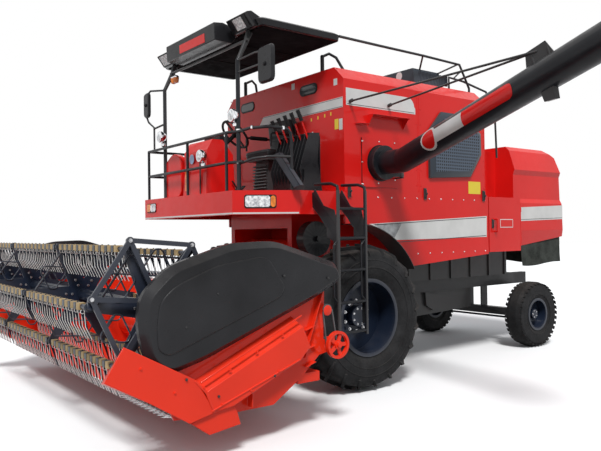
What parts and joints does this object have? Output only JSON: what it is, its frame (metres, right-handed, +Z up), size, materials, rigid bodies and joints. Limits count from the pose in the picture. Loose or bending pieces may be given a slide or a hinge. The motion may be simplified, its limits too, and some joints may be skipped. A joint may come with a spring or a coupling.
{
  "type": "self-propelled combine harvester",
  "caption": "Self-propelled combine harvester with a tined pick-up reel header, open canopied deck, grain tank, swinging unloading auger, straw hood and steered rear wheels.",
  "frame": {"origin": "middle of the footprint, on the ground", "axes": "+Z up, -Y the way it drives, +X its left side"},
  "size_m": [6.75, 7.6751, 3.8699],
  "materials": {
    "red_paint": "gloss",
    "black_paint": "satin",
    "navy_paint": "gloss",
    "tyre_rubber": "matte",
    "steel": "satin",
    "black_plastic": "matte",
    "curtain_cloth": "matte",
    "grey_paint": "satin"
  },
  "bodies": {
    "machine": {"chassis": "black_paint", "rear_axle": "black_paint", "thresher_hull": "red_paint", "side_shields": "red_paint", "fenders": "black_paint", "grain_tank": "red_paint", "unloader_flange": "black_paint", "engine_bay": "red_paint", "engine": "steel", "radiator_screen": "black_paint", "engine_cover": "grey_paint", "deck": "red_paint", "steering_console": "red_paint", "steering_wheel": "black_paint", "lever_stand": "black_paint", "seat": "black_plastic", "deck_frame": "black_paint", "canopy": "black_paint", "ladder": "black_paint", "rear_hood": "red_paint", "rear_curtain": "curtain_cloth", "tool_box": "red_paint", "fuel_tank": "red_paint", "cleaning_shoe": "black_paint", "side_drives": "black_paint"},
    "front_wheel_left": {"front_tyre_left": "tyre_rubber", "front_rim_left": "navy_paint"},
    "front_wheel_right": {"front_tyre_right": "tyre_rubber", "front_rim_right": "navy_paint"},
    "rear_wheel_left": {"rear_tyre_left": "tyre_rubber", "rear_rim_left": "navy_paint"},
    "rear_wheel_right": {"rear_tyre_right": "tyre_rubber", "rear_rim_right": "navy_paint"},
    "knuckle_left": {"knuckle_left": "black_paint"},
    "knuckle_right": {"knuckle_right": "black_paint"},
    "tie_rod": {"tie_rod": "black_paint"},
    "header": {"feeder_house": "red_paint", "header_body": "red_paint", "end_covers": "navy_paint", "crop_dividers": "red_paint", "knife_bar": "steel"},
    "header_auger": {"header_auger": "red_paint"},
    "header_drive": {"header_drive": "red_paint"},
    "lift_barrels": {"lift_barrels": "black_paint"},
    "lift_rods": {"lift_rods": "steel"},
    "reel_arms": {"reel_arms": "navy_paint"},
    "reel": {"reel": "navy_paint"},
    "control_ring": {"control_ring": "navy_paint"},
    "reel_barrels": {"reel_barrels": "black_paint"},
    "reel_rods": {"reel_rods": "steel"},
    "unloader": {"unloader": "black_paint"},
    "tool_box_door": {"tool_box_door": "red_paint"},
    "tine_bar_1": {"tine_bar_1": "navy_paint"},
    "tine_bar_2": {"tine_bar_2": "navy_paint"},
    "tine_bar_3": {"tine_bar_3": "navy_paint"},
    "tine_bar_4": {"tine_bar_4": "navy_paint"},
    "tine_bar_5": {"tine_bar_5": "navy_paint"},
    "tine_bar_6": {"tine_bar_6": "navy_paint"}
  },
  "joints": [
    {"name": "front_left_spin", "type": "hinge", "parent": "machine", "child": "front_wheel_left", "pos_m": [0.187, -0.668, 0.772], "axis": [1, 0, 0], "continuous": true},
    {"name": "front_right_spin", "type": "hinge", "parent": "machine", "child": "front_wheel_right", "pos_m": [-2.337, -0.668, 0.772], "axis": [1, 0, 0], "continuous": true},
    {"name": "steer_left", "type": "hinge", "parent": "machine", "child": "knuckle_left", "pos_m": [-0.335, 2.972, 0.46], "axis": [0, 0, 1], "range_deg": [-35, 35]},
    {"name": "steer_right", "type": "hinge", "parent": "machine", "child": "knuckle_right", "pos_m": [-1.815, 2.972, 0.46], "axis": [0, 0, 1], "range_deg": [-35, 35]},
    {"name": "tie_rod_turn", "type": "hinge", "parent": "knuckle_left", "child": "tie_rod", "pos_m": [-0.335, 3.142, 0.365], "axis": [0, 0, 1], "range_deg": [-35, 35]},
    {"name": "rear_left_spin", "type": "hinge", "parent": "knuckle_left", "child": "rear_wheel_left", "pos_m": [-0.125, 2.972, 0.46], "axis": [1, 0, 0], "continuous": true},
    {"name": "rear_right_spin", "type": "hinge", "parent": "knuckle_right", "child": "rear_wheel_right", "pos_m": [-2.025, 2.972, 0.46], "axis": [1, 0, 0], "continuous": true},
    {"name": "header_lift", "type": "hinge", "parent": "machine", "child": "header", "pos_m": [-1.075, -0.818, 1.35], "axis": [-1, 0, 0], "range_deg": [-5, 22]},
    {"name": "lift_cylinder_swing", "type": "hinge", "parent": "machine", "child": "lift_barrels", "pos_m": [-1.075, -0.858, 0.48], "axis": [-1, 0, 0], "range_deg": [-3.7, 15.6]},
    {"name": "lift_cylinder_stroke", "type": "slide", "parent": "lift_barrels", "child": "lift_rods", "axis": [0, -0.9758, 0.2185], "range_m": [-0.0751, 0.3235]},
    {"name": "auger_spin", "type": "hinge", "parent": "header", "child": "header_auger", "pos_m": [-1.075, -2.428, 0.69], "axis": [1, 0, 0], "continuous": true},
    {"name": "header_drive_spin", "type": "hinge", "parent": "header", "child": "header_drive", "pos_m": [1.075, -1.815, 0.725], "axis": [1, 0, 0], "continuous": true},
    {"name": "reel_lift", "type": "hinge", "parent": "header", "child": "reel_arms", "pos_m": [-1.075, -2.008, 1.195], "axis": [-1, 0, 0], "range_deg": [-1, 20]},
    {"name": "reel_cylinder_swing", "type": "hinge", "parent": "header", "child": "reel_barrels", "pos_m": [-1.075, -2.198, 0.76], "axis": [-1, 0, 0], "range_deg": [-0.8, 13]},
    {"name": "reel_cylinder_stroke", "type": "slide", "parent": "reel_barrels", "child": "reel_rods", "axis": [0, -0.7216, 0.6923], "range_m": [-0.0095, 0.151]},
    {"name": "reel_spin", "type": "hinge", "parent": "reel_arms", "child": "reel", "pos_m": [-1.075, -3.323, 1.125], "axis": [1, 0, 0], "continuous": true},
    {"name": "control_ring_spin", "type": "hinge", "parent": "reel_arms", "child": "control_ring", "pos_m": [0.957, -3.323, 1.185], "axis": [1, 0, 0], "continuous": true},
    {"name": "tine_bar_1_turn", "type": "hinge", "parent": "reel", "child": "tine_bar_1", "pos_m": [-1.075, -3.04195, 1.52639], "axis": [1, 0, 0], "continuous": true},
    {"name": "tine_bar_2_turn", "type": "hinge", "parent": "reel", "child": "tine_bar_2", "pos_m": [-1.075, -3.53008, 1.56909], "axis": [1, 0, 0], "continuous": true},
    {"name": "tine_bar_3_turn", "type": "hinge", "parent": "reel", "child": "tine_bar_3", "pos_m": [-1.075, -3.81114, 1.16771], "axis": [1, 0, 0], "continuous": true},
    {"name": "tine_bar_4_turn", "type": "hinge", "parent": "reel", "child": "tine_bar_4", "pos_m": [-1.075, -3.60405, 0.72362], "axis": [1, 0, 0], "continuous": true},
    {"name": "tine_bar_5_turn", "type": "hinge", "parent": "reel", "child": "tine_bar_5", "pos_m": [-1.075, -3.11592, 0.68091], "axis": [1, 0, 0], "continuous": true},
    {"name": "tine_bar_6_turn", "type": "hinge", "parent": "reel", "child": "tine_bar_6", "pos_m": [-1.075, -2.83487, 1.08229], "axis": [1, 0, 0], "continuous": true},
    {"name": "unloader_swing", "type": "hinge", "parent": "machine", "child": "unloader", "pos_m": [0.225, -0.003, 2.43], "axis": [0, 0, 1], "range_deg": [0, 100]},
    {"name": "tool_box_door_swing", "type": "hinge", "parent": "machine", "child": "tool_box_door", "pos_m": [0.118, 2.396, 1.7425], "axis": [0, 0, 1], "range_deg": [0, 110]}
  ],
  "couplings": [
    {"joint": "steer_right", "follows": "steer_left", "ratio": 1},
    {"joint": "tie_rod_turn", "follows": "steer_left", "ratio": -1},
    {"joint": "lift_cylinder_swing", "follows": "header_lift", "ratio": 0.7029},
    {"joint": "lift_cylinder_stroke", "follows": "header_lift", "m_per_rad": 0.83731},
    {"joint": "reel_cylinder_swing", "follows": "reel_lift", "ratio": 0.645},
    {"joint": "reel_cylinder_stroke", "follows": "reel_lift", "m_per_rad": 0.42697},
    {"joint": "control_ring_spin", "follows": "reel_spin", "ratio": 1},
    {"joint": "tine_bar_1_turn", "follows": "reel_spin", "ratio": -1},
    {"joint": "tine_bar_2_turn", "follows": "reel_spin", "ratio": -1},
    {"joint": "tine_bar_3_turn", "follows": "reel_spin", "ratio": -1},
    {"joint": "tine_bar_4_turn", "follows": "reel_spin", "ratio": -1},
    {"joint": "tine_bar_5_turn", "follows": "reel_spin", "ratio": -1},
    {"joint": "tine_bar_6_turn", "follows": "reel_spin", "ratio": -1}
  ]
}
